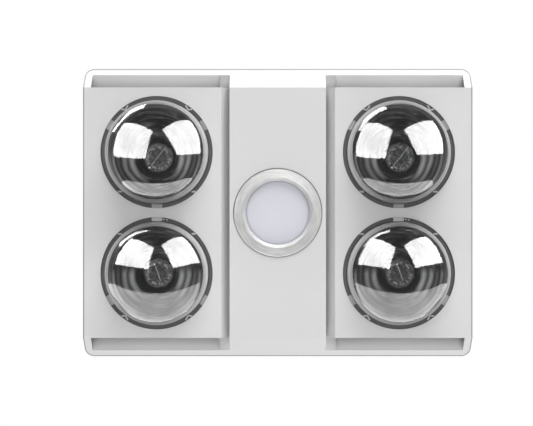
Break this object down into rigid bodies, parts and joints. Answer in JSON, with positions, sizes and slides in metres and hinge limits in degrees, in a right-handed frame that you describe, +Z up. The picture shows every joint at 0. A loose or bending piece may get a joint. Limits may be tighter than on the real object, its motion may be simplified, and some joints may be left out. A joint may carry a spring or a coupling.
{
  "type": "bathroom ceiling heater",
  "caption": "Flush ceiling unit with round infrared heat lamps in a chamfered fascia, a round centre light, and an exhaust fan with side duct spigot in a sheet-metal housing.",
  "frame": {"origin": "centre of the ceiling cut-out, in the plane of the ceiling's underside", "axes": "+X along the fascia's length, +Y towards the duct spigot, +Z up into the roof space"},
  "size_m": [0.47, 0.3558, 0.2563],
  "materials": {
    "white_plastic": "satin",
    "clear_glass": "clear, polished",
    "nickel": "nickel plated",
    "filament_wire": "dark wire",
    "porcelain": "glazed",
    "brass": "plain",
    "bright_sheet": "bright rolled",
    "dark_sheet": "dark grey, matte",
    "trim_metal": "brushed",
    "opal": "opal, matte",
    "circuit_board": "white solder mask",
    "galvanised": "galvanised",
    "spring_steel": "spring steel",
    "zinc": "zinc plated",
    "bright_steel": "ground",
    "motor_paint": "black, satin",
    "grey_plastic": "moulded",
    "ivory_plastic": "moulded",
    "black_plastic": "moulded"
  },
  "bodies": {
    "housing_body": {"housing": "galvanised", "lamp_tray": "dark_sheet", "fan_volute": "galvanised", "fan_inlet_plate": "galvanised", "fan_motor": "motor_paint", "duct_spigot": "white_plastic", "flap_pin": "bright_steel", "light_trim_ring": "trim_metal", "light_diffuser": "opal", "light_cup": "bright_sheet", "led_board": "circuit_board", "light_bridge": "bright_sheet", "led_driver": "grey_plastic", "terminal_block": "ivory_plastic", "terminal_cover": "grey_plastic", "cable_gland": "grey_plastic", "thermal_cutout": "black_plastic", "lamp_shield_1": "bright_sheet", "lamp_shield_2": "bright_sheet", "lamp_shield_3": "bright_sheet", "lamp_shield_4": "bright_sheet", "lamp_holder_1": "porcelain", "lamp_holder_2": "porcelain", "lamp_holder_3": "porcelain", "lamp_holder_4": "porcelain", "clamp_screw_1": "zinc", "clamp_screw_2": "zinc", "clamp_screw_3": "zinc", "clamp_screw_4": "zinc"},
    "fascia_body": {"fascia": "white_plastic", "fascia_spring_left": "spring_steel", "fascia_spring_right": "spring_steel"},
    "fan_rotor": {"impeller": "grey_plastic", "motor_shaft": "bright_steel"},
    "flap_left_body": {"backdraft_flap_left": "grey_plastic"},
    "flap_right_body": {"backdraft_flap_right": "grey_plastic"},
    "lamp_1_contact": {"lamp_contact_1": "brass"},
    "lamp_1": {"lamp_bulb_1": "clear_glass", "lamp_cap_1": "nickel", "lamp_filament_1": "filament_wire"},
    "lamp_2_contact": {"lamp_contact_2": "brass"},
    "lamp_2": {"lamp_bulb_2": "clear_glass", "lamp_cap_2": "nickel", "lamp_filament_2": "filament_wire"},
    "lamp_3_contact": {"lamp_contact_3": "brass"},
    "lamp_3": {"lamp_bulb_3": "clear_glass", "lamp_cap_3": "nickel", "lamp_filament_3": "filament_wire"},
    "lamp_4_contact": {"lamp_contact_4": "brass"},
    "lamp_4": {"lamp_bulb_4": "clear_glass", "lamp_cap_4": "nickel", "lamp_filament_4": "filament_wire"},
    "clamp_nut_body_1": {"clamp_nut_1": "brass"},
    "clamp_foot_body_1": {"clamp_foot_1": "grey_plastic"},
    "clamp_nut_body_2": {"clamp_nut_2": "brass"},
    "clamp_foot_body_2": {"clamp_foot_2": "grey_plastic"},
    "clamp_nut_body_3": {"clamp_nut_3": "brass"},
    "clamp_foot_body_3": {"clamp_foot_3": "grey_plastic"},
    "clamp_nut_body_4": {"clamp_nut_4": "brass"},
    "clamp_foot_body_4": {"clamp_foot_4": "grey_plastic"}
  },
  "joints": [
    {"name": "fascia_pull", "type": "slide", "parent": "housing_body", "child": "fascia_body", "axis": [0, 0, -1], "range_m": [0, 0.075]},
    {"name": "fan_spin", "type": "hinge", "parent": "housing_body", "child": "fan_rotor", "pos_m": [0, 0, 0.12], "axis": [0, 0, 1], "continuous": true},
    {"name": "flap_left_swing", "type": "hinge", "parent": "housing_body", "child": "flap_left_body", "pos_m": [0.069, 0.133, 0.102], "axis": [0, 0, -1], "range_deg": [0, 75], "stiffness_Nm_per_rad": 0.004},
    {"name": "flap_right_swing", "type": "hinge", "parent": "housing_body", "child": "flap_right_body", "pos_m": [0.069, 0.133, 0.102], "axis": [0, 0, 1], "range_deg": [0, 75], "stiffness_Nm_per_rad": 0.004},
    {"name": "lamp_1_travel", "type": "slide", "parent": "housing_body", "child": "lamp_1_contact", "axis": [0, 0, -1], "range_m": [0, 0.0125]},
    {"name": "lamp_1_turn", "type": "hinge", "parent": "lamp_1_contact", "child": "lamp_1", "pos_m": [-0.1463, -0.0732, 0.1], "axis": [0, 0, -1], "range_deg": [0, 1238]},
    {"name": "lamp_2_travel", "type": "slide", "parent": "housing_body", "child": "lamp_2_contact", "axis": [0, 0, -1], "range_m": [0, 0.0125]},
    {"name": "lamp_2_turn", "type": "hinge", "parent": "lamp_2_contact", "child": "lamp_2", "pos_m": [0.1463, -0.0732, 0.1], "axis": [0, 0, -1], "range_deg": [0, 1238]},
    {"name": "lamp_3_travel", "type": "slide", "parent": "housing_body", "child": "lamp_3_contact", "axis": [0, 0, -1], "range_m": [0, 0.0125]},
    {"name": "lamp_3_turn", "type": "hinge", "parent": "lamp_3_contact", "child": "lamp_3", "pos_m": [-0.1463, 0.0732, 0.1], "axis": [0, 0, -1], "range_deg": [0, 1238]},
    {"name": "lamp_4_travel", "type": "slide", "parent": "housing_body", "child": "lamp_4_contact", "axis": [0, 0, -1], "range_m": [0, 0.0125]},
    {"name": "lamp_4_turn", "type": "hinge", "parent": "lamp_4_contact", "child": "lamp_4", "pos_m": [0.1463, 0.0732, 0.1], "axis": [0, 0, -1], "range_deg": [0, 1238]},
    {"name": "clamp_1_travel", "type": "slide", "parent": "housing_body", "child": "clamp_nut_body_1", "axis": [0, 0, -1], "range_m": [0, 0.04]},
    {"name": "clamp_1_swing", "type": "hinge", "parent": "clamp_nut_body_1", "child": "clamp_foot_body_1", "pos_m": [-0.2062, -0.1382, 0.058], "axis": [0, 0, 1], "range_deg": [0, 90]},
    {"name": "clamp_2_travel", "type": "slide", "parent": "housing_body", "child": "clamp_nut_body_2", "axis": [0, 0, -1], "range_m": [0, 0.04]},
    {"name": "clamp_2_swing", "type": "hinge", "parent": "clamp_nut_body_2", "child": "clamp_foot_body_2", "pos_m": [0.2062, -0.1382, 0.058], "axis": [0, 0, -1], "range_deg": [0, 90]},
    {"name": "clamp_3_travel", "type": "slide", "parent": "housing_body", "child": "clamp_nut_body_3", "axis": [0, 0, -1], "range_m": [0, 0.04]},
    {"name": "clamp_3_swing", "type": "hinge", "parent": "clamp_nut_body_3", "child": "clamp_foot_body_3", "pos_m": [-0.2062, 0.1382, 0.058], "axis": [0, 0, -1], "range_deg": [0, 90]},
    {"name": "clamp_4_travel", "type": "slide", "parent": "housing_body", "child": "clamp_nut_body_4", "axis": [0, 0, -1], "range_m": [0, 0.04]},
    {"name": "clamp_4_swing", "type": "hinge", "parent": "clamp_nut_body_4", "child": "clamp_foot_body_4", "pos_m": [0.2062, 0.1382, 0.058], "axis": [0, 0, 1], "range_deg": [0, 90]}
  ],
  "couplings": [
    {"joint": "lamp_1_travel", "follows": "lamp_1_turn", "m_per_rad": 0.00057773},
    {"joint": "lamp_2_travel", "follows": "lamp_2_turn", "m_per_rad": 0.00057773},
    {"joint": "lamp_3_travel", "follows": "lamp_3_turn", "m_per_rad": 0.00057773},
    {"joint": "lamp_4_travel", "follows": "lamp_4_turn", "m_per_rad": 0.00057773}
  ]
}
